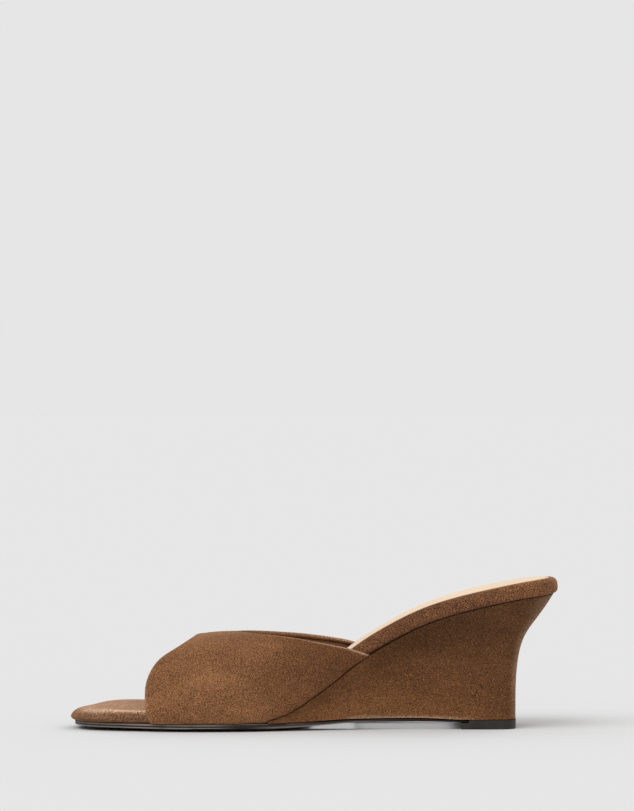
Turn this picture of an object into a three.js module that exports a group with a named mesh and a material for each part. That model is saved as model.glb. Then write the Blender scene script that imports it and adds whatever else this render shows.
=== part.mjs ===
// A wedge mule for the right foot: a one-piece vamp over a padded footbed, on a covered wedge,
// a thin outsole and a top lift. Millimetres, +Z up. The toe points along -X, the inner side of
// the foot is -Y, and the shoe stands on Z = 0.
import * as THREE from "three";

// Driving dimensions of the last.
const LENGTH = 235; // footbed, toe tip to heel back
const BALL_WIDTH = 78.8; // footbed, across its widest place
const HEEL_WIDTH = 53.4; // footbed, across the heel seat
const HEEL_HEIGHT = 64.3; // floor to the underside of the footbed at the back
const INSTEP_HEIGHT = 46; // floor to the highest point of the vamp
const CROWN_SHIFT = 4.5; // the vamp's crown lies this far to the inner side
const ARCH_CANT = 1.6; // at the arch the footbed's outer side lies this much lower

// Stretches over which something goes over from one value to the next, as shares of the length.
const CANT_START = [0.46, 0.58];
const CANT_END = [0.62, 0.85];
const HOLLOW_START = [0.42, 0.56];
const HOLLOW_END = [0.66, 0.86];
const PAD_CHANGE = [0.35, 0.7];
const SECTION_CHANGE = [0.25, 0.5];
const ARCH_CHANGE = [0.42, 0.56];

// The same round the vamp's section: 0 is the inner lower edge, 1 the outer one.
const SETBACK_TURN = [0.45, 0.85];
const FILL_START = [0.62, 0.8];
const FILL_END = [0.8, 1];
const RISE_TURN = [0.4, 0.7];

// Between these places the vamp's two edges are looked for.
const FRONT_RANGE = [0.12, 0.32];
const REAR_RANGE = [0.3, 0.66];

// Rounding of the footbed's two ends in plan: how long each round is, and how square.
const TOE_ROUND = 24;
const TOE_POWER = 2.2;
const HEEL_ROUND = 27;
const HEEL_POWER = 2.1;

// Thicknesses and clearances.
const GAP = 0.3; // between two pieces that are glued or lasted together
const WALL = 1.8; // upper, with its lining
const TOE_PAD = 6.2; // footbed at the toe
const HEEL_PAD = 7.8; // footbed at the heel
const TOP_EDGE = 2.6; // rounding of the footbed's upper edge
const TIP_EDGE = 9; // the same at the toe's tip, measured inwards
const TIP_RISE = 4.5; // and measured upwards
const TIP_LENGTH = 26; // length over which the tip's rounding goes over to the side's
const LOWER_EDGE = 2; // rounding of the footbed's lower edge
const TIP_LOWER_EDGE = 1.6; // the same at the toe's tip
const TOE_CROWN = 2; // how far the bare toe of the footbed swells
const SHOULDER_OUT = 0.6; // share of the way from the centre line to the rim where it falls off
const SHOULDER_UP = 0.78; // share of the swelling that is left there
const RIM = 3.2; // width of the footbed's edge around the sock
const SOCK_SEAT = 1; // depth of the seat that the sock lies in
const SOCK_THICK = 0.8;
const SOCK_FRONT = LENGTH * 0.281; // front edge of the sock, from the toe
const SEAT_RAMP = 8; // length over which the sock's seat fades out under the vamp

// Upper.
const LATERAL_SETBACK = 9; // the front edge lies this much further back on the outer side
const LATERAL_FILL = 3; // and half way down that side by this much more, so that it turns gently
const LATERAL_DIP = 0.4; // near the crown the rear edge lies this much lower on the outer side
const LATERAL_RISE = 0.9; // and near the arch this much higher
const EDGE_SWELL = 0.3; // the folded edges swell past the edge line by this share of the wall
const FRONT_SQUARENESS = 2.6; // power of the vamp's section over the ball
const BACK_SQUARENESS = 2.2; // and at the instep

// Wedge, outsole and top lift.
const WEDGE_TIP = LENGTH * 0.402; // front of the wedge, from the toe
const HEEL_UNDERCUT = 21; // from the footbed's back to the back of the heel's base
const UNDERCUT_START = LENGTH * 0.585; // the undercut is shared out over the length behind this
const BASE_POWER = 6; // squareness of the heel's base at the back
const DRAW_IN = 0.04; // each side of the wedge draws in by this share of its height
const WAIST_HOLLOW = 1.6; // depth of the hollow in the wedge's inner side
const OUTER_HOLLOW = 0.8; // and in its outer side
const SOLE_THICK = 3.6; // outsole under the ball
const SOLE_EDGE = 2; // its edge is at most this high, and its underside bulges down from there
const SOLE_ROLL = 10; // width of that bulge's rounded border
const ROLL_MIDDLE = 0.35; // share of that width, and share of the fall that is left there
const SOLE_LIP = 0.3; // chamfer of its lower corner
const SOLE_CHAMFER = 0.45; // and of its upper one
const SOLE_INSET = 0.6; // the outsole's edge lies this far inside the wedge's base
const LIFT_LENGTH = 26.7; // top lift, front to back
const LIFT_LAP = 3.2; // length of the lip that it puts under the outsole's tail
const LIFT_THICK = 4.4;
const LIFT_LIP = 3; // thickness of that lip
const LIFT_CHAMFER = 0.3;
const LIFT_FRONT = LENGTH - HEEL_UNDERCUT - LIFT_LENGTH;
const SOLE_TAIL = LIFT_FRONT + LIFT_LAP;

// How finely the forms are divided.
const END_STEPS = 8; // round of a toe or a heel, each side
const STATION_STEP = 7; // distance between two sections along the shoe
const CUT_STEPS = [0, 0.4, 0.75]; // points of a cut end, from the centre line to its corner
const LIFT_STEPS = [0.25, 0.5]; // sections of the top lift before its rounded back
const GIRTH_STEPS = 20; // sections of the vamp from its edge to its crown
const VAMP_STEPS = 20; // sections of the vamp from front to back
const EDGE_CROWDING = 0.7; // how much closer together they lie at its two edges

// at: place along the length, as a share of it from the toe. half: half width as a share of the
// local width, which goes over from the ball's to the heel's. mid: sideways place of the centre
// line, as a share of the ball's width.
const PLAN = [
  { at: 0, half: 0.305, mid: -0.114 },
  { at: 0.021, half: 0.341, mid: -0.095 },
  { at: 0.043, half: 0.372, mid: -0.06 },
  { at: 0.085, half: 0.405, mid: -0.028 },
  { at: 0.128, half: 0.44, mid: -0.02 },
  { at: 0.19, half: 0.477, mid: -0.012 },
  { at: 0.265, half: 0.499, mid: -0.005 },
  { at: 0.32, half: 0.5, mid: 0.004 },
  { at: 0.383, half: 0.49, mid: 0.018 },
  { at: 0.447, half: 0.467, mid: 0.036 },
  { at: 0.51, half: 0.439, mid: 0.046 },
  { at: 0.575, half: 0.42, mid: 0.047 },
  { at: 0.638, half: 0.415, mid: 0.039 },
  { at: 0.7, half: 0.429, mid: 0.029 },
  { at: 0.766, half: 0.46, mid: 0.018 },
  { at: 0.83, half: 0.492, mid: 0.008 },
  { at: 0.872, half: 0.5, mid: 0.004 },
  { at: 1, half: 0.5, mid: 0 },
];
const BALL_AT = 0.32;
const SEAT_AT = 0.872;

// rise: height of the footbed's underside, from the outsole under the ball (0) to the back (1).
const SEAT = [
  { at: 0, rise: 0.004 },
  { at: 0.1, rise: 0.002 },
  { at: 0.2, rise: 0 },
  { at: 0.37, rise: 0 },
  { at: 0.395, rise: 0.009 },
  { at: 0.42, rise: 0.031 },
  { at: 0.45, rise: 0.075 },
  { at: 0.49, rise: 0.173 },
  { at: 0.54, rise: 0.315 },
  { at: 0.59, rise: 0.471 },
  { at: 0.63, rise: 0.573 },
  { at: 0.68, rise: 0.68 },
  { at: 0.73, rise: 0.773 },
  { at: 0.79, rise: 0.849 },
  { at: 0.86, rise: 0.915 },
  { at: 0.93, rise: 0.97 },
  { at: 1, rise: 1.005 },
];

// top and under: the outsole's two faces, as shares of its thickness under the ball.
// out: how far its edge stands outside the footbed's, as a share of the vamp's cover.
const SOLE = [
  { at: 0, top: 1.1, under: 0.46, out: -1 },
  { at: 0.06, top: 1.06, under: 0.24, out: -0.95 },
  { at: 0.14, top: 1.02, under: 0.15, out: -0.5 },
  { at: 0.19, top: 1, under: 0.1, out: 0.4 },
  { at: 0.24, top: 1, under: 0.03, out: 0.6 },
  { at: 0.28, top: 1, under: 0, out: 0.7 },
  { at: 0.41, top: 1, under: 0, out: 0.7 },
  { at: 0.43, top: 1.03, under: 0.04, out: 0.7 },
  { at: 0.47, top: 1.1, under: 0.25, out: 0.7 },
  { at: 0.53, top: 1.28, under: 0.72, out: 0.7 },
  { at: 0.59, top: 1.43, under: 1.03, out: 0.7 },
  { at: 0.73, top: 1.43, under: 1.03, out: 0.7 },
  { at: 0.785, top: 1.24, under: 0.93, out: 0.7 },
  { at: 0.81, top: LIFT_THICK / SOLE_THICK, under: (LIFT_LIP + GAP) / SOLE_THICK, out: 0.7 },
];

// out: how far the wedge's upper edge stands outside the footbed's, as a share of the cover.
const WEDGE_EDGE = [
  { at: 0.4, out: 1 },
  { at: 0.58, out: 1 },
  { at: 0.66, out: 0.1 },
  { at: 0.75, out: -0.45 },
  { at: 0.9, out: -0.6 },
  { at: 1, out: -1.15 },
];

// The heel's concave back: at is the share of the height, out the share of the undercut there.
const BACK_CURVE = [
  { at: 0, out: 0 },
  { at: 0.3, out: 0.005 },
  { at: 0.46, out: 0.05 },
  { at: 0.6, out: 0.137 },
  { at: 0.67, out: 0.225 },
  { at: 0.74, out: 0.385 },
  { at: 0.8, out: 0.55 },
  { at: 0.87, out: 0.715 },
  { at: 0.92, out: 0.84 },
  { at: 1, out: 1 },
];

// The last's top line, which the vamp follows: up is a share of the instep's height.
const RIDGE = [
  { at: 0.12, up: 0.71 },
  { at: 0.155, up: 0.79 },
  { at: 0.194, up: 0.868 },
  { at: 0.219, up: 0.914 },
  { at: 0.253, up: 0.962 },
  { at: 0.277, up: 0.985 },
  { at: 0.314, up: 0.997 },
  { at: 0.347, up: 1.001 },
  { at: 0.372, up: 1.02 },
  { at: 0.415, up: 1.077 },
  { at: 0.445, up: 1.138 },
  { at: 0.5, up: 1.25 },
  { at: 0.54, up: 1.35 },
  { at: 0.61, up: 1.54 },
  { at: 0.7, up: 1.8 },
];

// The vamp's rear edge, seen from the side: up is a share of the instep's height.
const TOPLINE = [
  { at: 0.2, up: 1.01 },
  { at: 0.347, up: 1.001 },
  { at: 0.409, up: 0.984 },
  { at: 0.445, up: 0.965 },
  { at: 0.474, up: 0.943 },
  { at: 0.5, up: 0.917 },
  { at: 0.531, up: 0.885 },
  { at: 0.567, up: 0.845 },
  { at: 0.606, up: 0.778 },
  { at: 0.65, up: 0.68 },
];

// The vamp's front edge, seen from the side: at is the height, as a share of the instep's,
// and set the place along the length.
const FRONT_EDGE = [
  { at: 0.08, set: 0.17 },
  { at: 0.2, set: 0.161 },
  { at: 0.33, set: 0.158 },
  { at: 0.47, set: 0.159 },
  { at: 0.59, set: 0.165 },
  { at: 0.67, set: 0.173 },
  { at: 0.74, set: 0.184 },
  { at: 0.785, set: 0.195 },
  { at: 0.85, set: 0.217 },
  { at: 0.96, set: 0.253 },
  { at: 1, set: 0.268 },
];

// Levels of the wedge's wall, as shares of its height.
const WALL_LEVELS = [0, 0.14, 0.3, 0.46, 0.6, 0.71, 0.81, 0.91, 1];

const COVER = GAP + WALL;
const FIRST_SEAT = SOLE_THICK + GAP;
const END_MARGIN = 0.06; // the centre line of a cap stops short of a round end by this share
const CUT_MARGIN = 0.012; // and of a cut end by this one
const APART = 8e-4; // two sections lie at least this share of the length apart
const TINY = 1e-4;
const EXACT = 1e-8;

const mix = (a, b, share) => a + (b - a) * share;

function ease(from, to, value) {
  const t = Math.min(1, Math.max(0, (value - from) / (to - from)));
  return t * t * (3 - 2 * t);
}

// A smooth curve through one column of a table, which doesn't overshoot between two rows.
function follow(table, column, at) {
  const last = table.length - 1;
  if (at <= table[0].at) return table[0][column];
  if (at >= table[last].at) return table[last][column];
  let row = 0;
  while (at > table[row + 1].at) row += 1;
  const span = (k) => table[k + 1].at - table[k].at;
  const slope = (k) => (table[k + 1][column] - table[k][column]) / span(k);
  const tangent = (k) => {
    if (k === 0) return slope(0);
    if (k === last) return slope(last - 1);
    const product = slope(k - 1) * slope(k);
    return product <= 0 ? 0 : (2 * product) / (slope(k - 1) + slope(k));
  };
  const t = (at - table[row].at) / span(row);
  const ahead = t * t * (3 - 2 * t);
  const bend = span(row) * t * (1 - t) * ((1 - t) * tangent(row) - t * tangent(row + 1));
  return mix(table[row][column], table[row + 1][column], ahead) + bend;
}

// The place between low and high where a rising function passes zero.
function crossing(rising, low, high) {
  let [a, b] = [low, high];
  while (b - a > EXACT) {
    const middle = (a + b) / 2;
    if (rising(middle) > 0) b = middle;
    else a = middle;
  }
  return (a + b) / 2;
}

const midline = (at) => BALL_WIDTH * follow(PLAN, "mid", at);
const round = (share, power) => Math.pow(Math.max(0, 1 - Math.pow(share, power)), 1 / power);

// Half the footbed's width before its ends are rounded.
function straightHalf(at) {
  return follow(PLAN, "half", at) * mix(BALL_WIDTH, HEEL_WIDTH, ease(BALL_AT, SEAT_AT, at));
}

function halfWidth(at) {
  const fromToe = Math.max(0, 1 - (at * LENGTH) / TOE_ROUND);
  const pastSeat = Math.max(0, 1 - ((1 - at) * LENGTH) / HEEL_ROUND);
  return straightHalf(at) * round(fromToe, TOE_POWER) * round(pastSeat, HEEL_POWER);
}

// A point on the footbed's outline, moved outwards in plan. side is -1 (inner) or 1 (outer).
function edge(at, side, outset) {
  const point = (a) => [a * LENGTH, midline(a) + side * halfWidth(a)];
  const [x0, y0] = point(Math.max(0, at - TINY));
  const [x1, y1] = point(Math.min(1, at + TINY));
  const step = Math.hypot(x1 - x0, y1 - y0);
  const [x, y] = point(at);
  return {
    x: x - (side * outset * (y1 - y0)) / step,
    y: y + (side * outset * (x1 - x0)) / step,
  };
}

// Height of the footbed's underside. At the arch it falls towards the outer side.
function seatHeight(at, y) {
  const arch = ease(...CANT_START, at) * (1 - ease(...CANT_END, at));
  const acrossShare = (HEEL_WIDTH / 2 + y) / HEEL_WIDTH;
  return mix(FIRST_SEAT, HEEL_HEIGHT, follow(SEAT, "rise", at)) - ARCH_CANT * arch * acrossShare;
}

// A point at a height above the footbed's underside, square to that curved face.
function above(x, y, height) {
  const at = x / LENGTH;
  const slope = (seatHeight(at + TINY, y) - seatHeight(at - TINY, y)) / (2 * TINY * LENGTH);
  const size = Math.hypot(1, slope);
  return [x - (height * slope) / size, y, seatHeight(at, y) + height / size];
}

// Places of the sections between two places along the shoe, close together in the round ends.
function stations(from, to) {
  const places = [];
  for (let k = 0; k < END_STEPS; k += 1) {
    const turn = (k / END_STEPS) * (Math.PI / 2);
    places.push((TOE_ROUND / LENGTH) * (1 - Math.pow(Math.cos(turn), 2 / TOE_POWER)));
    places.push(1 - (HEEL_ROUND / LENGTH) * (1 - Math.pow(Math.cos(turn), 2 / HEEL_POWER)));
  }
  const bodyLength = LENGTH - TOE_ROUND - HEEL_ROUND;
  const steps = Math.round(bodyLength / STATION_STEP);
  for (let k = 0; k <= steps; k += 1)
    places.push((TOE_ROUND + (k / steps) * bodyLength) / LENGTH);
  const inside = places.filter((at) => at > from + APART && at < to - APART);
  return [from, ...inside.sort((a, b) => a - b), to];
}

// The places of one ring: from the middle of the front, along the inner side to the back, and
// home along the outer side. A cut end is crossed in steps, and a round one closes by itself.
function ringPlaces(from, to) {
  const closed = (at) => at === 0 || at === 1;
  const ends = (at) => (closed(at) ? [0] : CUT_STEPS);
  const inner = ends(from).map((across) => ({ at: from, side: -1, across }));
  for (const at of stations(from, to)) if (!closed(at)) inner.push({ at, side: -1, across: 1 });
  const back = ends(to).map((across) => ({ at: to, side: -1, across }));
  inner.push(...back.reverse());
  const outer = inner.slice(1, -1).map((place) => ({ ...place, side: 1 }));
  return [...inner, ...outer.reverse()];
}

// A closed mesh from rings of equally many points. The first and the last ring are folded flat,
// so that their points meet in pairs.
function skin(rings) {
  const keys = new Map();
  const positions = [];
  const index = rings.map((ring) =>
    ring.map((point) => {
      const key = point.map((v) => Math.round(v / TINY)).join();
      if (!keys.has(key)) {
        keys.set(key, keys.size);
        positions.push(...point);
      }
      return keys.get(key);
    }),
  );
  const faces = [];
  const add = (a, b, c) => {
    if (a !== b && b !== c && c !== a) faces.push(a, b, c);
  };
  for (let k = 0; k + 1 < index.length; k += 1)
    for (let j = 0; j < index[k].length; j += 1) {
      const next = (j + 1) % index[k].length;
      add(index[k][j], index[k][next], index[k + 1][next]);
      add(index[k][j], index[k + 1][next], index[k + 1][j]);
    }
  const geometry = new THREE.BufferGeometry();
  geometry.setAttribute("position", new THREE.Float32BufferAttribute(positions, 3));
  geometry.setIndex(faces);
  return geometry;
}

// A ring's point in plan: on the outline, or on the way from the centre line to it in a cut end.
function planPoint({ at, side, across }, outset) {
  const rim = edge(at, side, outset);
  if (across === 1 || at === 0 || at === 1) return rim;
  return { x: at * LENGTH, y: mix(midline(at), rim.y, across) };
}

// The centre-line point under a ring's point, kept clear of both ends.
function spinePoint({ at }, from, to) {
  const first = from === 0 ? END_MARGIN : from + CUT_MARGIN;
  const last = to === 1 ? 1 - END_MARGIN : to - CUT_MARGIN;
  const place = Math.min(last, Math.max(first, at));
  return { x: place * LENGTH, y: midline(place) };
}

const padThickness = (at) => mix(TOE_PAD, HEEL_PAD, ease(...PAD_CHANGE, at));

function footbed() {
  const places = ringPlaces(0, 1);
  const ring = (inset, height) =>
    places.map((place) => {
      const { x, y } = planPoint(place, -inset(place.at));
      return above(x, y, height(place.at));
    });
  const spine = (height) =>
    places.map((place) => {
      const { x, y } = spinePoint(place, 0, 1);
      return above(x, y, height(x / LENGTH));
    });
  const topEdge = (at) => mix(TIP_EDGE, TOP_EDGE, ease(0, TIP_LENGTH, at * LENGTH));
  const sunk = (at) => SOCK_SEAT * ease(SOCK_FRONT - SEAT_RAMP, SOCK_FRONT, at * LENGTH);
  const swell = (at) =>
    TOE_CROWN * ease(0, TIP_LENGTH, at * LENGTH) * (1 - ease(TIP_LENGTH, SOCK_FRONT, at * LENGTH));
  const floor = (at) => padThickness(at) - sunk(at);
  const lowerEdge = (at) => mix(TIP_LOWER_EDGE, LOWER_EDGE, ease(0, TIP_LENGTH, at * LENGTH));
  const rings = [spine(() => 0), ring(lowerEdge, () => 0)];
  for (const turn of [45, 90].map(THREE.MathUtils.degToRad))
    rings.push(
      ring(
        (at) => lowerEdge(at) * (1 - Math.sin(turn)),
        (at) => lowerEdge(at) * (1 - Math.cos(turn)),
      ),
    );
  for (const turn of [0, 30, 60, 90].map(THREE.MathUtils.degToRad))
    rings.push(
      ring(
        (at) => topEdge(at) * (1 - Math.cos(turn)),
        (at) => padThickness(at) - Math.min(topEdge(at), TIP_RISE) * (1 - Math.sin(turn)),
      ),
    );
  const seatInset = (at) => Math.max(RIM, topEdge(at));
  const shoulder = places.map((place) => {
    const rim = planPoint(place, -seatInset(place.at));
    const centre = spinePoint(place, 0, 1);
    const x = mix(centre.x, rim.x, SHOULDER_OUT);
    const y = mix(centre.y, rim.y, SHOULDER_OUT);
    return above(x, y, floor(x / LENGTH) + SHOULDER_UP * swell(x / LENGTH));
  });
  rings.push(ring(seatInset, padThickness));
  rings.push(ring(seatInset, floor));
  rings.push(shoulder);
  rings.push(spine((at) => floor(at) + swell(at)));
  return skin(rings);
}

function sockLining() {
  const front = SOCK_FRONT / LENGTH;
  const places = ringPlaces(front, 1);
  const height = (at) => padThickness(at) - SOCK_SEAT + GAP;
  const ring = (inset, up) =>
    places.map((place) => {
      const { x, y } = planPoint(place, -RIM - GAP - inset);
      return above(x, y, height(place.at) + up);
    });
  const spine = (up) =>
    places.map((place) => {
      const { x, y } = spinePoint(place, front, 1);
      return above(x, y, height(x / LENGTH) + up);
    });
  const edgeRound = SOCK_THICK / 2;
  return skin([
    spine(0),
    ring(0, 0),
    ring(0, SOCK_THICK - edgeRound),
    ring(edgeRound, SOCK_THICK),
    spine(SOCK_THICK),
  ]);
}

const soleTop = (at) => SOLE_THICK * follow(SOLE, "top", at);

// A point of the wedge's upper edge in plan.
function wedgeTop(place) {
  return planPoint(place, COVER * follow(WEDGE_EDGE, "out", place.at));
}

// How much the undercut shortens the wedge's base behind the place where it starts.
function baseReach() {
  const back = wedgeTop({ at: 1, side: 1, across: 1 }).x;
  return (LENGTH - HEEL_UNDERCUT - UNDERCUT_START) / (back - UNDERCUT_START);
}

// The point of its base under it: drawn in, moved forward by the undercut, and squarer behind.
function wedgeBase(place) {
  const { x, y } = wedgeTop(place);
  const baseX = x > UNDERCUT_START ? mix(UNDERCUT_START, x, baseReach()) : x;
  const drop = seatHeight(place.at, y) - FIRST_SEAT;
  const pastSeat = Math.max(0, 1 - ((1 - place.at) * LENGTH) / HEEL_ROUND);
  const cover = COVER * follow(WEDGE_EDGE, "out", place.at);
  const half = (straightHalf(place.at) + cover - DRAW_IN * drop) * round(pastSeat, BASE_POWER);
  const baseY = pastSeat > 0 ? midline(place.at) + place.side * half : y - place.side * DRAW_IN * drop;
  return { x: baseX, y: place.across < 1 ? y : baseY };
}

function wedge() {
  const front = WEDGE_TIP / LENGTH;
  const places = ringPlaces(front, 1);
  const base = (x) => (x < SOLE_TAIL ? soleTop(x / LENGTH) : LIFT_THICK) + GAP;
  const level = (share) =>
    places.map((place) => {
      const top = wedgeTop(place);
      const foot = wedgeBase(place);
      const roof = above(top.x, top.y, -GAP);
      const out = follow(BACK_CURVE, "out", share);
      const waist = ease(...HOLLOW_START, place.at) * (1 - ease(...HOLLOW_END, place.at));
      const depth = place.side < 0 ? WAIST_HOLLOW : OUTER_HOLLOW;
      const hollow = place.across < 1 ? 0 : depth * waist * Math.sin(Math.PI * share);
      return [
        mix(foot.x, roof[0], out),
        mix(foot.y, roof[1], out) - place.side * hollow,
        mix(base(foot.x), roof[2], share),
      ];
    });
  const spine = (share) =>
    places.map((place) => {
      const { x, y } = spinePoint(place, front, 1);
      const roof = above(x, y, -GAP);
      const footX = Math.min(x, LENGTH - HEEL_UNDERCUT - RIM);
      return [mix(footX, roof[0], share), y, mix(base(footX), roof[2], share)];
    });
  return skin([spine(0), ...WALL_LEVELS.map(level), spine(1)]);
}

function outsole() {
  const tail = SOLE_TAIL / LENGTH;
  const front = WEDGE_TIP / LENGTH;
  const places = ringPlaces(0, tail);
  const plan = (place, inset) => {
    if (place.at < front || place.across < 1)
      return planPoint(place, COVER * follow(SOLE, "out", place.at) - inset);
    const at = place.at;
    const reach = wedgeBase(place);
    return { x: at * LENGTH, y: reach.y - place.side * (SOLE_INSET + inset) };
  };
  const ring = (inset, height) =>
    places.map((place) => {
      const { x, y } = plan(place, inset);
      return [x, y, height(place.at)];
    });
  const spine = (height) =>
    places.map((place) => {
      const { x, y } = spinePoint(place, 0, tail);
      return [x, y, height(x / LENGTH)];
    });
  const under = (at) => SOLE_THICK * follow(SOLE, "under", at);
  const fall = (at) => Math.max(0, soleTop(at) - under(at) - SOLE_EDGE);
  return skin([
    spine(under),
    ring(SOLE_ROLL, under),
    ring(SOLE_ROLL * ROLL_MIDDLE, (at) => under(at) + ROLL_MIDDLE * fall(at)),
    ring(SOLE_LIP, (at) => under(at) + fall(at)),
    ring(0, (at) => under(at) + fall(at) + SOLE_LIP),
    ring(0, (at) => soleTop(at) - SOLE_CHAMFER),
    ring(SOLE_CHAMFER, soleTop),
    spine(soleTop),
  ]);
}

// The top lift follows the wedge's base. Its roof steps down in front, under the outsole's tail.
function topLift() {
  const back = LENGTH - HEEL_UNDERCUT;
  const corner = HEEL_ROUND * baseReach();
  const stepAt = SOLE_TAIL + GAP;
  const middle = midline(SEAT_AT);
  const full = wedgeBase({ at: SEAT_AT, side: 1, across: 1 }).y - middle - GAP;
  const half = (x) => full * round(Math.max(0, 1 - (back - x) / corner), BASE_POWER);
  const sections = [LIFT_FRONT, stepAt, stepAt + GAP];
  for (const share of LIFT_STEPS) sections.push(mix(stepAt, back, share));
  for (let k = 1; k < END_STEPS; k += 1) {
    const turn = (k / END_STEPS) * (Math.PI / 2);
    sections.push(back - corner * (1 - Math.pow(Math.sin(turn), 2 / BASE_POWER)));
  }
  sections.sort((a, b) => a - b);
  const inner = CUT_STEPS.map((across) => ({ x: LIFT_FRONT, across }));
  for (const x of sections) inner.push({ x, across: 1 });
  inner.push({ x: back, across: 0 });
  const sided = (list, side) => list.map((place) => ({ ...place, side }));
  const places = [...sided(inner, -1), ...sided(inner.slice(1, -1), 1).reverse()];
  const roof = (x) => (x < stepAt + TINY ? LIFT_LIP : LIFT_THICK);
  const ring = (inset, height) =>
    places.map(({ x, across, side }) => {
      const y = middle + side * across * (half(x) - inset);
      return [Math.min(Math.max(x, LIFT_FRONT + inset), back - inset), y, height(x)];
    });
  const spine = (height) =>
    places.map(({ x }) => {
      const kept = Math.min(Math.max(x, SOLE_TAIL), back - RIM);
      return [kept, middle, height(kept)];
    });
  return skin([
    spine(() => 0),
    ring(LIFT_CHAMFER, () => 0),
    ring(0, () => LIFT_CHAMFER),
    ring(0, roof),
    spine(roof),
  ]);
}

// A point of the vamp's section: turn goes from 0 at the inner lower edge over 0.5 at the crown
// to 1 at the outer lower edge, and inset is how deep the point lies in the wall.
function vampPoint(at, turn, inset) {
  const angle = Math.PI * turn;
  const power = 2 / mix(FRONT_SQUARENESS, BACK_SQUARENESS, ease(...SECTION_CHANGE, at));
  const across = -Math.sign(Math.cos(angle)) * Math.pow(Math.abs(Math.cos(angle)), power);
  const up = Math.pow(Math.sin(angle), power);
  const half = straightHalf(at) + COVER - inset;
  const crown = INSTEP_HEIGHT * follow(RIDGE, "up", at);
  const lean = -CROWN_SHIFT * Math.sin(angle) * Math.sin(angle);
  const y = midline(at) + half * across + lean;
  const base = seatHeight(at, y);
  return [at * LENGTH, y, base + (crown - base - inset) * up];
}

// Where the vamp's front edge crosses a line of equal turn, and where its rear edge does.
function frontAt(turn) {
  const fill = LATERAL_FILL * ease(...FILL_START, turn) * (1 - ease(...FILL_END, turn));
  const back = (LATERAL_SETBACK * ease(...SETBACK_TURN, turn) + fill) / LENGTH;
  const line = (at) => follow(FRONT_EDGE, "set", vampPoint(at, turn, 0)[2] / INSTEP_HEIGHT);
  return crossing((at) => at - back - line(at), ...FRONT_RANGE);
}

function rearAt(turn) {
  const lift = (at) => mix(-LATERAL_DIP, LATERAL_RISE, ease(...ARCH_CHANGE, at));
  const line = (at) =>
    INSTEP_HEIGHT * follow(TOPLINE, "up", at) + lift(at) * ease(...RISE_TURN, turn);
  return crossing((at) => vampPoint(at, turn, 0)[2] - line(at), ...REAR_RANGE);
}

function upper() {
  const rings = [];
  const swell = (EDGE_SWELL * WALL) / LENGTH;
  const shares = Array.from({ length: VAMP_STEPS + 1 }, (_, j) => {
    const even = j / VAMP_STEPS;
    return mix(even, (1 - Math.cos(Math.PI * even)) / 2, EDGE_CROWDING);
  });
  for (let k = 0; k <= 2 * GIRTH_STEPS; k += 1) {
    const turn = k / (2 * GIRTH_STEPS);
    const [front, rear] = [frontAt(turn), rearAt(turn)];
    const along = shares.map((share) => mix(front, rear, share));
    const outside = along.map((at) => vampPoint(at, turn, 0));
    const inside = along.map((at) => vampPoint(at, turn, WALL));
    const rearEdge = vampPoint(rear + swell, turn, WALL / 2);
    const frontEdge = vampPoint(front - swell, turn, WALL / 2);
    rings.push([...outside, rearEdge, ...inside.reverse(), frontEdge]);
  }
  // The lower edges are closed in the middle of the wall.
  const folded = (ring) => {
    const half = VAMP_STEPS + 1;
    const middle = (j) => ring[j].map((v, axis) => (v + ring[2 * half - j][axis]) / 2);
    const across = Array.from({ length: half }, (_, j) => middle(j));
    return [...across, ring[half], ...across.slice().reverse(), ring[2 * half + 1]];
  };
  return skin([folded(rings[0]), ...rings, folded(rings[rings.length - 1])]);
}

const suede = { color: 0x78553c, roughness: 0.95, metalness: 0 };
const dark = { color: 0x2e2622, roughness: 0.5, metalness: 0 };
const cream = { color: 0xebd6be, roughness: 0.6, metalness: 0 };

function piece(name, geometry, finish) {
  const mesh = new THREE.Mesh(geometry, new THREE.MeshStandardMaterial(finish));
  mesh.name = name;
  return mesh;
}

const shoe = new THREE.Group();
shoe.add(
  piece("outsole", outsole(), dark),
  piece("top_lift", topLift(), dark),
  piece("wedge", wedge(), suede),
  piece("footbed", footbed(), suede),
  piece("sock_lining", sockLining(), cream),
  piece("upper", upper(), suede),
);

// The origin is under the middle of the shoe's box.
const box = new THREE.Box3().setFromObject(shoe);
shoe.position.set(-(box.min.x + box.max.x) / 2, -(box.min.y + box.max.y) / 2, -box.min.z);

export default shoe;
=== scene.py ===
"""Looks of a wedge mule for the right foot. Each solid of the frame is copied, refined and finished."""

import math

import bmesh
import bpy
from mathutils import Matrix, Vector
from mathutils.bvhtree import BVHTree
from mathutils.kdtree import KDTree


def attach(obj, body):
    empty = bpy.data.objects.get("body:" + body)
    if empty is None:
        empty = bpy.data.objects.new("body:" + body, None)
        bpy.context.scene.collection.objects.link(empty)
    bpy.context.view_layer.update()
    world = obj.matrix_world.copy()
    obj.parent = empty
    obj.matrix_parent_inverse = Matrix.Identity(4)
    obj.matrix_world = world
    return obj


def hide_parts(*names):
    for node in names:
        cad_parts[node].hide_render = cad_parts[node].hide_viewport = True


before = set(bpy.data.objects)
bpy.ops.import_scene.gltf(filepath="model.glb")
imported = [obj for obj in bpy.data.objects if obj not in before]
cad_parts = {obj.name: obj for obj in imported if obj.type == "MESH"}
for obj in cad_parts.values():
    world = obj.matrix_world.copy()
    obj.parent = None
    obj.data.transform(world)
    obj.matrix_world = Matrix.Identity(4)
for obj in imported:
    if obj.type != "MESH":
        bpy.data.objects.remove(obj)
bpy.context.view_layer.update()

MM = 0.001

# The photograph's view: a level camera two metres from the middle of the shoe.
VIEW_DISTANCE = 2.0
VIEW_HEIGHT = 0.1546
VIEW_SIDE = 0.00097
FOCAL_SHARE = 4144 / 811  # focal length, as a share of the picture's height

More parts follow.
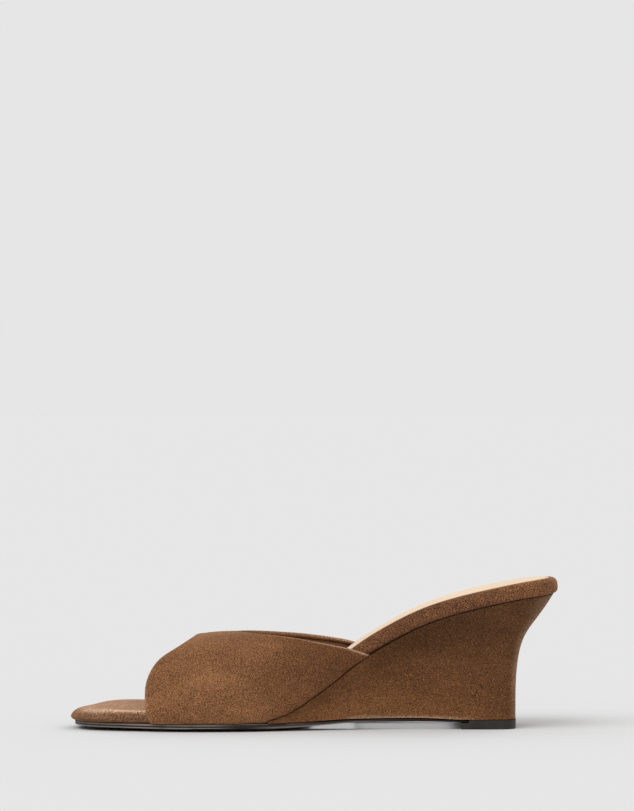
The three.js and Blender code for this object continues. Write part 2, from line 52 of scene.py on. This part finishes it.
# Light. The pale floor's tone is chosen so that it melts into the backdrop.
BACKDROP = 0.79
FLOOR_TONE = 0.675
FLOOR_SIZE = 80
KEY_POWER = 1.15
RIM_POWER = 0.5

# How the solids are refined.
WELD = 0.004 * MM  # points closer than this are one
LONG_EDGE = 10.5 * MM  # longer edges are cut, where a piece asks for cuts
QUAD_ANGLE = math.radians(170)  # triangles join to quads up to this angle
SMOOTH_ANGLE = math.radians(38)  # faces are shaded as one surface up to this angle
POINT_STEP = 0.2 * MM  # distance between the points that stand for a hard edge


def deselect():
    for thing in bpy.context.selected_objects:
        thing.select_set(False)


def only(piece):
    """Makes a piece the only selected and the active one."""
    deselect()
    piece.select_set(True)
    bpy.context.view_layer.objects.active = piece


def linear(red, green, blue):
    """A colour as it is seen, from 0 to 255, in the values that a shader takes."""

    def decoded(value):
        return ((value / 255 + 0.055) / 1.055) ** 2.4 if value > 10 else value / 3294

    return decoded(red), decoded(green), decoded(blue), 1


# Materials


class Value:
    """One socket of a material. Its operators add the Math nodes for them."""

    def __init__(self, finish, socket):
        self.finish = finish
        self.socket = socket

    def _math(self, operation, first, second):
        return self.finish.node("ShaderNodeMath", {"operation": operation}, {0: first, 1: second})

    def __add__(self, other):
        return self._math("ADD", self, other)

    def __sub__(self, other):
        return self._math("SUBTRACT", self, other)

    def __rsub__(self, other):
        return self._math("SUBTRACT", other, self)

    def __mul__(self, other):
        return self._math("MULTIPLY", self, other)


class Finish:
    """A material, built from nodes that read the place on the piece."""

    def __init__(self, name):
        self.material = bpy.data.materials.new(name)
        self.material.use_nodes = True
        self.tree = self.material.node_tree
        self.shader = self.tree.nodes["Principled BSDF"]
        self.place = self.node("ShaderNodeTexCoord", {}, {}, "Object")

    def node(self, kind, settings, inputs, output=0):
        made = self.tree.nodes.new(kind)
        for name, value in settings.items():
            if name == "stops":
                ramp = made.color_ramp.elements
                while len(ramp) < len(value):
                    ramp.new(0.5)
                for element, (at, colour) in zip(ramp, value):
                    element.position = at
                    element.color = colour
            else:
                setattr(made, name, value)
        for name, value in inputs.items():
            self.put(made.inputs[name], value)
        return Value(self, made.outputs[output])

    def put(self, socket, value):
        if isinstance(value, Value):
            self.tree.links.new(value.socket, socket)
        else:
            socket.default_value = value

    def grain(self, size, detail=2.0, roughness=0.55, stretch=(1, 1, 1), turn=(0, 0, 0), bend=0.0):
        """Noise from 0 to 1 whose spots are about size metres wide, stretched along its own axes."""
        scale = tuple(1 / (size * s) for s in stretch)
        placing = {"Vector": self.place, "Rotation": turn, "Scale": scale}
        turned = self.node("ShaderNodeMapping", {}, placing)
        return self.node(
            "ShaderNodeTexNoise",
            {},
            {
                "Vector": turned,
                "Scale": 1.0,
                "Detail": detail,
                "Roughness": roughness,
                "Distortion": bend,
            },
        )

    def band(self, value, low, high):
        """0 where the value is below low, 1 above high, and smooth between."""
        return self.node(
            "ShaderNodeMapRange",
            {"interpolation_type": "SMOOTHSTEP"},
            {"Value": value, "From Min": low, "From Max": high},
        )

    def blend(self, first, second, share):
        return self.node(
            "ShaderNodeMix",
            {"data_type": "RGBA", "clamp_factor": True},
            {0: share, 6: first, 7: second},
            2,
        )

    def tint(self, colour, darker, share):
        """A colour, multiplied by another one as far as share says."""
        return self.node(
            "ShaderNodeMix",
            {"data_type": "RGBA", "blend_type": "MULTIPLY", "clamp_factor": True},
            {0: share, 6: colour, 7: darker},
            2,
        )

    def along(self, axis):
        """The place along an axis of the frame, in metres."""
        return self.node("ShaderNodeSeparateXYZ", {}, {0: self.place}, "XYZ".index(axis))

    def mark(self, name):
        """What the piece's own attribute says at each point."""
        return self.node("ShaderNodeAttribute", {"attribute_name": name}, {}, "Fac")

    def relief(self, height, depth, strength=1.0):
        return self.node(
            "ShaderNodeBump", {}, {"Height": height, "Distance": depth, "Strength": strength}, "Normal"
        )

    def finish(self, **values):
        for name, value in values.items():
            self.put(self.shader.inputs[name.replace("_", " ")], value)
        return self.material


# Light colour of suede for worn nap and for painted highlight, and painted highlight colour for the resin
# sole's edge.
WEAR_AND_HIGHLIGHT_COLOUR = (206, 168, 138)
SOLE_HIGHLIGHT_COLOUR = (174, 160, 150)
# What a colour is multiplied by where the nap lies away from the light and towards it, which also carries
# painted shade and painted light, and for painted shade in a gap.
DARKER_NAP_AND_SHADE = (0.24, 0.2, 0.18, 1)
LIGHTER_NAP_AND_LIGHT = (2.8, 2.95, 3.0, 1)
GAP_SHADE_FACTOR = (0.22, 0.2, 0.18, 1)


def suede(name, middle, brushed, sweep, painted_shading=(), speck=0.26 * MM):
    """Fine-napped suede: specks, short fibres, mottled grain, and broad patches where the nap lies over.

    brushed and sweep turn the fibres and the patches. Each of painted_shading paints shade and light by
    place: a colour, an axis, the two places in millimetres between which it comes in, and the share that it
    has past the second."""
    cloth = Finish(name)
    fine = cloth.grain(speck, detail=0)
    fibre = cloth.grain(0.9 * MM, detail=1, stretch=(1, 1, 1.8), turn=brushed)
    mottle = cloth.grain(3.6 * MM, detail=3, roughness=0.6, bend=0.6)
    patch = cloth.grain(24 * MM, detail=2, stretch=(2.4, 1, 0.7), turn=sweep, bend=0.8)
    base = linear(*middle)
    # Painted shade: each of these makes the suede darker or lighter along an axis, as the light falls on
    # that part of the shoe.
    for colour, axis, start, end, share in painted_shading:
        reached = cloth.band(cloth.along(axis), start * MM, end * MM)
        base = cloth.blend(base, linear(*colour), reached * share)
    # Worn nap on the vamp's edges, and painted highlight on the footbed's toe and on the wedge's back and
    # lower edge.
    base = cloth.blend(base, linear(*WEAR_AND_HIGHLIGHT_COLOUR), cloth.mark("worn"))
    tone = fine * 5.0 + fibre * 0.35 + mottle * 0.4 + patch * 1.2 - 2.975
    shade = cloth.tint(base, DARKER_NAP_AND_SHADE, (1 - cloth.band(tone, -0.1, 0.5)) * 0.56)
    shade = cloth.tint(shade, LIGHTER_NAP_AND_LIGHT, cloth.band(tone, 0.55, 1.2))
    # Painted shade and painted light, on the vamp partly also the nap's own patches.
    shade = cloth.tint(shade, DARKER_NAP_AND_SHADE, cloth.mark("dim"))
    shade = cloth.tint(shade, LIGHTER_NAP_AND_LIGHT, cloth.mark("lit"))
    # Painted shade in the gaps between pieces.
    shade = cloth.tint(shade, GAP_SHADE_FACTOR, cloth.mark("seam"))
    nap = cloth.relief(fine * 0.35 + fibre * 0.4 + mottle * 0.3, 0.4 * MM, 0.5)
    return cloth.finish(
        Base_Color=shade,
        Roughness=cloth.band(fine, 0.1, 0.9) * 0.1 + 0.86,
        Specular_IOR_Level=0.15,
        Sheen_Weight=0.34,
        Sheen_Roughness=0.3,
        Sheen_Tint=linear(206, 160, 124),
        Normal=nap,
    )


def lining_leather(name, dark, light):
    """Smooth pale leather with a pebbled grain, with painted shade along its edges where it meets other
    pieces.
    """
    leather = Finish(name)
    pebble = leather.grain(0.9 * MM, detail=2, roughness=0.5)
    cloud = leather.grain(18 * MM, detail=3, bend=0.4)
    crease = leather.grain(7 * MM, detail=2, stretch=(0.5, 2.4, 1))
    shade = leather.blend(linear(*dark), linear(*light), leather.band(cloud, 0.2, 0.75))
    # Painted shade along the gaps and steps at the edges.
    shade = leather.blend(shade, linear(*(0.86 * v for v in dark)), leather.mark("seam") * 0.7)
    return leather.finish(
        Base_Color=shade,
        Roughness=cloud * 0.16 + 0.44,
        Specular_IOR_Level=0.4,
        Normal=leather.relief(pebble * 0.7 + crease * 0.5, 0.12 * MM, 0.5),
    )


def sole_leather(name, dark, light):
    """Dark resin sole: faintly brushed on its faces, with painted highlights and a painted reflection on
    its ridges.
    """
    resin = Finish(name)
    brushed = resin.grain(1.4 * MM, detail=2, stretch=(6, 1, 1))
    scuff = resin.grain(11 * MM, detail=4, roughness=0.65, bend=0.5)
    paler = resin.band(scuff * 0.7 + brushed * 0.3, 0.45, 0.85) * 0.5
    shade = resin.blend(linear(*dark), linear(*light), paler)
    # Painted highlights on the edge's corners and a painted reflection on the rolled underside.
    shade = resin.blend(shade, linear(*SOLE_HIGHLIGHT_COLOUR), resin.mark("ridge"))
    return resin.finish(
        Base_Color=shade,
        Roughness=resin.band(scuff, 0.2, 0.8) * 0.2 + 0.42,
        Specular_IOR_Level=0.35,
        Normal=resin.relief(brushed * 0.5 + scuff * 0.3, 0.1 * MM, 0.4),
    )


def lift_rubber(name, dark, light):
    """Matt wear piece with a fine moulded texture."""
    rubber = Finish(name)
    speck = rubber.grain(0.8 * MM, detail=3, roughness=0.7)
    cloud = rubber.grain(9 * MM, detail=2)
    return rubber.finish(
        Base_Color=rubber.blend(linear(*dark), linear(*light), rubber.band(cloud, 0.3, 0.8)),
        Roughness=speck * 0.2 + 0.5,
        Specular_IOR_Level=0.35,
        Normal=rubber.relief(speck, 0.12 * MM, 0.4),
    )


# Painted shade: the vamp darker towards its rear, away from the light.
VAMP_SUEDE = suede(
    "vamp_suede",
    middle=(108, 72, 46),
    brushed=(0.2, 0.5, 0),
    sweep=(0, 0.55, 0.2),
    painted_shading=[((91, 58, 35), "X", -48, 12, 1.0)],
)
# Painted shade: the wedge darker towards its top, under the footbed's overhang, and towards its back.
WEDGE_SUEDE = suede(
    "wedge_suede",
    middle=(95, 61, 36),
    brushed=(0.1, -0.3, 0),
    sweep=(0, -0.4, 0.1),
    painted_shading=[((65, 40, 22), "Z", 8, 54, 1.0), ((82, 53, 31), "X", 70, 105, 0.6)],
)
# Painted shade: the footbed's side darker behind the toe, and a little less dark towards the heel's end.
BED_SUEDE = suede(
    "footbed_suede",
    middle=(110, 77, 54),
    brushed=(0.2, 0.9, 0),
    sweep=(0, 0.2, 0.3),
    painted_shading=[((93, 60, 39), "X", -60, 20, 1.0), ((103, 67, 42), "X", 70, 112, 1.0)],
    speck=0.35 * MM,
)
SOCK_LEATHER = lining_leather("sock_leather", (221, 191, 158), (230, 204, 172))
LINING_LEATHER = lining_leather("lining_leather", (112, 80, 57), (132, 97, 70))
SOLE_RESIN = sole_leather("sole_resin", (27, 19, 15), (40, 30, 25))
LIFT_RUBBER = lift_rubber("lift_rubber", (38, 32, 29), (56, 48, 44))


# Pieces


def refined(node, name, levels=2, crease=35, cuts=0):
    """A copy of a solid in the frame, in quads, subdivided with its hard edges kept."""
    piece = bpy.data.objects.new(name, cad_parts[node].data.copy())
    bpy.context.scene.collection.objects.link(piece)
    piece.data.materials.clear()
    only(piece)
    bpy.ops.mesh.customdata_custom_splitnormals_clear()
    bpy.ops.object.mode_set(mode="EDIT")
    bpy.ops.mesh.select_all(action="SELECT")
    bpy.ops.mesh.remove_doubles(threshold=WELD)
    bpy.ops.mesh.tris_convert_to_quads(face_threshold=QUAD_ANGLE, shape_threshold=QUAD_ANGLE)
    bpy.ops.object.mode_set(mode="OBJECT")
    shape = bmesh.new()
    shape.from_mesh(piece.data)
    if cuts:
        spokes = [edge for edge in shape.edges if edge.calc_length() > LONG_EDGE]
        bmesh.ops.subdivide_edges(shape, edges=spokes, cuts=cuts, use_grid_fill=True)
    held = shape.edges.layers.float.new("crease_edge")
    for edge in shape.edges:
        hard = edge.is_manifold and edge.calc_face_angle() > math.radians(crease)
        edge[held] = 1.0 if hard else 0.0
    shape.to_mesh(piece.data)
    shape.free()
    smooth = piece.modifiers.new("smooth", "SUBSURF")
    smooth.levels = smooth.render_levels = levels
    bpy.ops.object.modifier_apply(modifier="smooth")
    bpy.ops.object.shade_smooth_by_angle(angle=SMOOTH_ANGLE)
    return piece


def smooth_step(low, high, value):
    """0 up to low, 1 from high on, and smooth between. low may be the larger of the two."""
    share = max(0.0, min(1.0, (value - low) / (high - low)))
    return share * share * (3 - 2 * share)


def write_mark(piece, name, values):
    """Writes one value for each point of a piece, which its material reads by name."""
    mark = piece.data.attributes.new(name, "FLOAT", "POINT")
    mark.data.foreach_set("value", values)


def tree_of(points):
    tree = KDTree(len(points))
    for number, point in enumerate(points):
        tree.insert(point, number)
    tree.balance()
    return tree


def near(tree, point, reach):
    """1 on the tree's points, fading to 0 at reach from them."""
    share = max(0.0, 1 - tree.find(point)[2] / reach)
    return share * share * (3 - 2 * share)


def hard_points(node, angle):
    """Points along the hard edges of a solid in the frame, a fifth of a millimetre apart."""
    shape = bmesh.new()
    shape.from_mesh(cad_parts[node].data)
    bmesh.ops.remove_doubles(shape, verts=shape.verts, dist=WELD)
    points = []
    for edge in shape.edges:
        if edge.is_manifold and edge.calc_face_angle() > math.radians(angle):
            start, end = (vert.co for vert in edge.verts)
            steps = max(1, round(edge.calc_length() / POINT_STEP))
            points += [start.lerp(end, step / steps) for step in range(steps + 1)]
    shape.free()
    return points


def solid_tree(*nodes):
    shape = bmesh.new()
    for node in nodes:
        shape.from_mesh(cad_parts[node].data)
    tree = BVHTree.FromBMesh(shape)
    shape.free()
    return tree


def paint_gap_shade(piece, neighbours, reach, share=1.0):
    """Paints shade on a piece where it is close to its neighbours, most where they touch."""
    values = []
    for vert in piece.data.vertices:
        found = neighbours.find_nearest(vert.co, reach)
        values.append(share * (1 - found[3] / reach) if found[0] is not None else 0.0)
    write_mark(piece, "seam", values)


def evened(piece, values, rounds):
    """Values on a piece's points, each blended a few times with those next to it."""
    edges = [tuple(edge.vertices) for edge in piece.data.edges]
    for _ in range(rounds):
        sums, counts = list(values), [1] * len(values)
        for a, b in edges:
            sums[a] += values[b]
            sums[b] += values[a]
            counts[a] += 1
            counts[b] += 1
        values = [total / count for total, count in zip(sums, counts)]
    return values


def stroke(point, start, end, width):
    """A soft stroke from start to end, seen from the side: 1 along its middle, fading out round it."""
    here = Vector((point.x, point.z))
    a, b = Vector(start) * MM, Vector(end) * MM
    along = max(0.0, min(1.0, (here - a).dot(b - a) / (b - a).length_squared))
    away = (here - a.lerp(b, along)).length / (width * MM)
    return math.exp(-away * away)


# Outsole. Its edge has painted highlights along its upper corner and along its lower one under the toe, and
# a painted reflection on its rolled underside along the shank.
SOLE_CREASE = 28
SOLE_HIGHLIGHT_SHARE = 0.95
SOLE_HIGHLIGHT_REACH = 0.34 * MM
UPPER_CORNER_HIGHLIGHT = (8 * MM, -24 * MM)  # places along the shoe between which each of them comes in
LOWER_CORNER_HIGHLIGHT = (-34 * MM, -52 * MM)
ROLL_START = (-34 * MM, -16 * MM)
ROLL_END = (40 * MM, 14 * MM)
ROLL_SHARE = 0.7
ROLL_REACH = 3.0 * MM
outsole = refined("outsole", "outsole_leaf", crease=SOLE_CREASE)
corners = hard_points("outsole", SOLE_CREASE)
sole_top = max(point.z for point in corners if point.x < -40 * MM)
upper_corner = tree_of([p for p in corners if p.z > sole_top - 0.6 * MM or p.x < -85 * MM])
lower_corner = tree_of(corners)
ridge = []
for vert in outsole.data.vertices:
    x = vert.co.x
    first = SOLE_HIGHLIGHT_SHARE * near(upper_corner, vert.co, SOLE_HIGHLIGHT_REACH) * smooth_step(*UPPER_CORNER_HIGHLIGHT, x)
    second = SOLE_HIGHLIGHT_SHARE * near(lower_corner, vert.co, SOLE_HIGHLIGHT_REACH) * smooth_step(*LOWER_CORNER_HIGHLIGHT, x)
    shank = smooth_step(*ROLL_START, x) * smooth_step(*ROLL_END, x)
    facing = smooth_step(0.1, -0.4, vert.normal.z)
    rolled_reflection = ROLL_SHARE * near(lower_corner, vert.co, ROLL_REACH) * facing * shank
    ridge.append(max(first, second, rolled_reflection))
write_mark(outsole, "ridge", ridge)
outsole.data.materials.append(SOLE_RESIN)
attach(outsole, "root")
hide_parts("outsole")

# Top lift.
lift = refined("top_lift", "heel_lift", crease=35, levels=1)
lift.data.materials.append(LIFT_RUBBER)
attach(lift, "root")
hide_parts("top_lift")

# Wedge cover, with painted highlight on its back and along its lower edge at the shank, and painted shade
# where it meets the footbed and the upper.
WEDGE_CREASE = 40
SEAM_REACH = 0.5 * MM  # a piece gets painted shade where a neighbour is closer than this
LOWER_EDGE_HIGHLIGHT = 0.25
EDGE_REACH = 1.8 * MM
BACK_HIGHLIGHT = 0.11
wedge = refined("wedge", "wedge_cover", crease=WEDGE_CREASE)
paint_gap_shade(wedge, solid_tree("footbed", "upper"), SEAM_REACH, 0.18)
lower_edge = tree_of([point for point in hard_points("wedge", WEDGE_CREASE) if point.z < 9 * MM])
worn = []
for vert in wedge.data.vertices:
    # Painted highlight on the back and along the lower edge at the shank.
    behind = BACK_HIGHLIGHT * smooth_step(0.5, 0.9, vert.normal.x)
    shank = smooth_step(8 * MM, 24 * MM, vert.co.x) * smooth_step(84 * MM, 62 * MM, vert.co.x)
    worn.append(max(behind, LOWER_EDGE_HIGHLIGHT * near(lower_edge, vert.co, EDGE_REACH) * shank))
write_mark(wedge, "worn", worn)
wedge.data.materials.append(WEDGE_SUEDE)
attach(wedge, "root")
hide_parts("wedge")

# Footbed: suede over foam and board, with painted highlight on the top and shoulders of the bare toe,
# painted shade on its front, and painted shade where it meets the wedge and the sole.
BARE = (-28 * MM, -52 * MM)  # the toe is bare in front of here
TOP_HIGHLIGHT = 0.2
SHOULDER_HIGHLIGHT = 0.62
SHOULDER_TURN = 0.86  # upward part of the normal where the shoulder's painted highlight is strongest
SHOULDER_SPREAD = 0.22
TIP_SHADE = 0.38
footbed = refined("footbed", "footbed_cover", crease=60, cuts=5)
paint_gap_shade(footbed, solid_tree("wedge", "outsole"), SEAM_REACH, 0.28)
worn, dim = [], []
for vert in footbed.data.vertices:
    forwards = smooth_step(-0.15, -0.6, vert.normal.x)
    bare = smooth_step(*BARE, vert.co.x) * (1 - forwards)
    up = vert.normal.z
    # Painted highlight on the toe's top and on its shoulders, where the light falls from above.
    flat_top_light = TOP_HIGHLIGHT * smooth_step(0.6, 0.9, up)
    turned = math.exp(-(((up - SHOULDER_TURN) / SHOULDER_SPREAD) ** 2))
    shoulder_light = SHOULDER_HIGHLIGHT * turned * smooth_step(0.1, 0.3, abs(vert.normal.y))
    worn.append(bare * min(1.0, flat_top_light + shoulder_light))
    # Painted shade on the forward-facing tip of the toe.
    dim.append(TIP_SHADE * forwards)
write_mark(footbed, "worn", evened(footbed, worn, rounds=4))
write_mark(footbed, "dim", evened(footbed, dim, rounds=4))
footbed.data.materials.append(BED_SUEDE)
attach(footbed, "root")
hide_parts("footbed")

# Sock lining, a little crowned by the foam under it, with painted shade along its edge against the
# footbed's rim.
SOCK_CREASE = 40
CROWN = 0.6 * MM
CROWN_REACH = 14 * MM  # it is reached this far from the sock's edge
RIM_REACH = 1.6 * MM
sock = refined("sock_lining", "sock", crease=SOCK_CREASE, cuts=5)
rim = tree_of(hard_points("sock_lining", SOCK_CREASE))
upwards = [vert.normal.z > 0.5 for vert in sock.data.vertices]
for vert, raised in zip(sock.data.vertices, upwards):
    if raised:
        inward = min(1.0, rim.find(vert.co)[2] / CROWN_REACH)
        vert.co.z += CROWN * (1 - (1 - inward) ** 2)
# Painted shade along the sock's edge.
write_mark(sock, "seam", [near(rim, vert.co, RIM_REACH) for vert in sock.data.vertices])
sock.data.materials.append(SOCK_LEATHER)
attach(sock, "root")
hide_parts("sock_lining")

# Upper: its outside is suede that is folded over the two edges, its inside has a lining.
upper = refined("upper", "vamp", crease=100)
inside_of = solid_tree("upper", "footbed")
close = solid_tree("wedge", "outsole", "footbed")
rims = hard_points("upper", 38)
edges = tree_of(rims)
open_edges = tree_of([point for point in rims if close.find_nearest(point)[3] > 1.2 * MM])
LINING_DROP = 1.7 * MM  # the lining starts this far from the folded edges, inside
LINING_STEP = 0.3  # and lies this many millimetres deeper
TIP = -22.9 * MM  # front of the wedge: up to here the vamp's lower edge comes down to the sole
TIP_LIFT = 0.6 * MM
RUB_REACH = 1.0 * MM
CUT_REACH = 0.5 * MM
TOUCH_SHADE_SHARE = 0.4

# The nap lies lighter or darker in broad strokes, which also paint light and shade over the soft creases,
# and the leather folds softly along three lines.
# Each line has its two ends and its width in millimetres, seen from the side, and its strength.
NAP_AND_LIGHT_STROKES = [((-21, 39), (-52, 24), 5, 0.07), ((-98, 24), (-86, 33), 4, 0.06), ((-80, 8), (-30, 8), 5, 0.06)]
NAP_AND_SHADE_STROKES = [((-37, 44), (-44, 33), 7, 0.2), ((-17, 27), (-30, 17), 6, 0.1), ((-6, 40), (12, 33), 7, 0.06)]
FOLDS = [((-76, 40), (-84, 10), 4.5, 0.3), ((-56, 42), (-40, 14), 6, 0.35), ((-24, 38), (-12, 20), 5, 0.25)]


def faces_in(place, normal):
    """Whether the way straight out of the vamp's surface meets the inside of the shoe."""
    _, across, _, distance = inside_of.ray_cast(place + normal * 0.2 * MM, normal, 0.1)
    return distance is not None and across.dot(normal) < 0


def strokes(place, lines):
    """How strong a set of soft strokes is at a place, all together."""
    return sum(strength * stroke(place, start, end, width) for start, end, width, strength in lines)


lined = [
    faces_in(face.center, face.normal) and edges.find(face.center)[2] > LINING_DROP + 0.3 * MM
    for face in upper.data.polygons
]
places = [vert.co.copy() for vert in upper.data.vertices]
normals = [vert.normal.copy() for vert in upper.data.vertices]
worn, seam, lit, dim = [], [], [], []
for vert, place, normal in zip(upper.data.vertices, places, normals):
    away = edges.find(place)[2]
    within = faces_in(place, normal)
    rubbed = (0.12 + 0.33 * smooth_step(-30 * MM, 22 * MM, place.x)) * near(open_edges, place, RUB_REACH)
    cut = 0.3 * near(edges, place, CUT_REACH) * smooth_step(-10 * MM, 20 * MM, place.x)
    worn.append(max(rubbed, cut) * (0.5 if within else 1.0))
    # Painted shade where the vamp meets the wedge, the sole and the footbed, and a painted shade line where
    # the lining steps down.
    found = close.find_nearest(place, SEAM_REACH)
    touch_shade = TOUCH_SHADE_SHARE * (1 - found[3] / SEAM_REACH) if found[0] is not None else 0.0
    step = math.exp(-(((away - LINING_DROP) / (0.45 * MM)) ** 2)) if within else 0.0
    seam.append(min(1.0, touch_shade + step))
    # Painted light and painted shade, partly the nap's own patches.
    lit.append(0.0 if within else min(1.0, strokes(place, NAP_AND_LIGHT_STROKES)))
    dim.append(0.0 if within else min(1.0, strokes(place, NAP_AND_SHADE_STROKES)))
    inset = LINING_STEP * smooth_step(LINING_DROP, LINING_DROP + 0.6 * MM, away) if within else 0.0
    held = smooth_step(0, 5 * MM, away) * smooth_step(6 * MM, 12 * MM, place.z)
    fold = 0.0 if within else held * strokes(place, FOLDS)
    vert.co = place - normal * (inset + fold) * MM
    under = smooth_step(TIP - 7.5 * MM, TIP, place.x) * (1 - smooth_step(TIP, TIP + 2.5 * MM, place.x))
    vert.co.z -= TIP_LIFT * under * (1 - smooth_step(5 * MM, 9 * MM, place.z))
write_mark(upper, "worn", worn)
write_mark(upper, "seam", seam)
write_mark(upper, "lit", lit)
write_mark(upper, "dim", dim)
upper.data.materials.append(VAMP_SUEDE)
upper.data.materials.append(LINING_LEATHER)
upper.data.polygons.foreach_set("material_index", [int(inner) for inner in lined])
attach(upper, "root")
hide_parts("upper")

# Stage

deselect()
bpy.ops.mesh.primitive_plane_add(size=FLOOR_SIZE, location=(0, 30, 0))
floor = bpy.context.object
floor.name = "studio_floor"
pale = Finish("pale_floor")
plain = pale.node("ShaderNodeBsdfDiffuse", {}, {"Color": (FLOOR_TONE, FLOOR_TONE, FLOOR_TONE, 1)})
pale.tree.links.new(plain.socket, pale.tree.nodes["Material Output"].inputs["Surface"])
pale.tree.nodes.remove(pale.shader)
floor.data.materials.append(pale.material)

world = bpy.data.worlds.new("studio")
bpy.context.scene.world = world
world.use_nodes = True
world.node_tree.nodes["Background"].inputs["Color"].default_value = (BACKDROP, BACKDROP, BACKDROP, 1)
world.node_tree.nodes["Background"].inputs["Strength"].default_value = 1.0


def soft_sun(name, towards, power, spread):
    """A broad even light that shines along a direction."""
    lamp = bpy.data.lights.new(name, "SUN")
    lamp.energy = power
    lamp.angle = math.radians(spread)
    holder = bpy.data.objects.new(name, lamp)
    holder.rotation_euler = Vector(towards).to_track_quat("-Z", "Y").to_euler()
    bpy.context.scene.collection.objects.link(holder)


soft_sun("key", (0.5, 0.5, -1.0), KEY_POWER, 45)
soft_sun("rim", (-0.6, -0.9, -0.7), RIM_POWER, 40)


def floor_lamp(name, middle, height, length, power):
    """A weak lamp under the sole, which lets the floor show there. Places are in millimetres."""
    lamp = bpy.data.lights.new(name, "AREA")
    lamp.shape = "RECTANGLE"
    lamp.size = length * MM
    lamp.size_y = 36 * MM
    lamp.energy = power
    holder = bpy.data.objects.new(name, lamp)
    holder.location = (middle * MM, 0, height * MM)
    holder.visible_camera = False
    bpy.context.scene.collection.objects.link(holder)


floor_lamp("under_arch", 45, 3.4, 50, 0.0032)
floor_lamp("under_waist", 8, 1.5, 22, 0.0016)

lens = bpy.data.cameras.new("camera")
lens.sensor_fit = "VERTICAL"
lens.sensor_height = 36
lens.lens = lens.sensor_height * FOCAL_SHARE
lens.clip_end = 200
camera = bpy.data.objects.new("camera", lens)
camera.location = (VIEW_SIDE, -VIEW_DISTANCE, VIEW_HEIGHT)
camera.rotation_euler = (math.radians(90), 0, 0)
bpy.context.scene.collection.objects.link(camera)
bpy.context.scene.camera = camera
bpy.context.scene.view_settings.view_transform = "Standard"
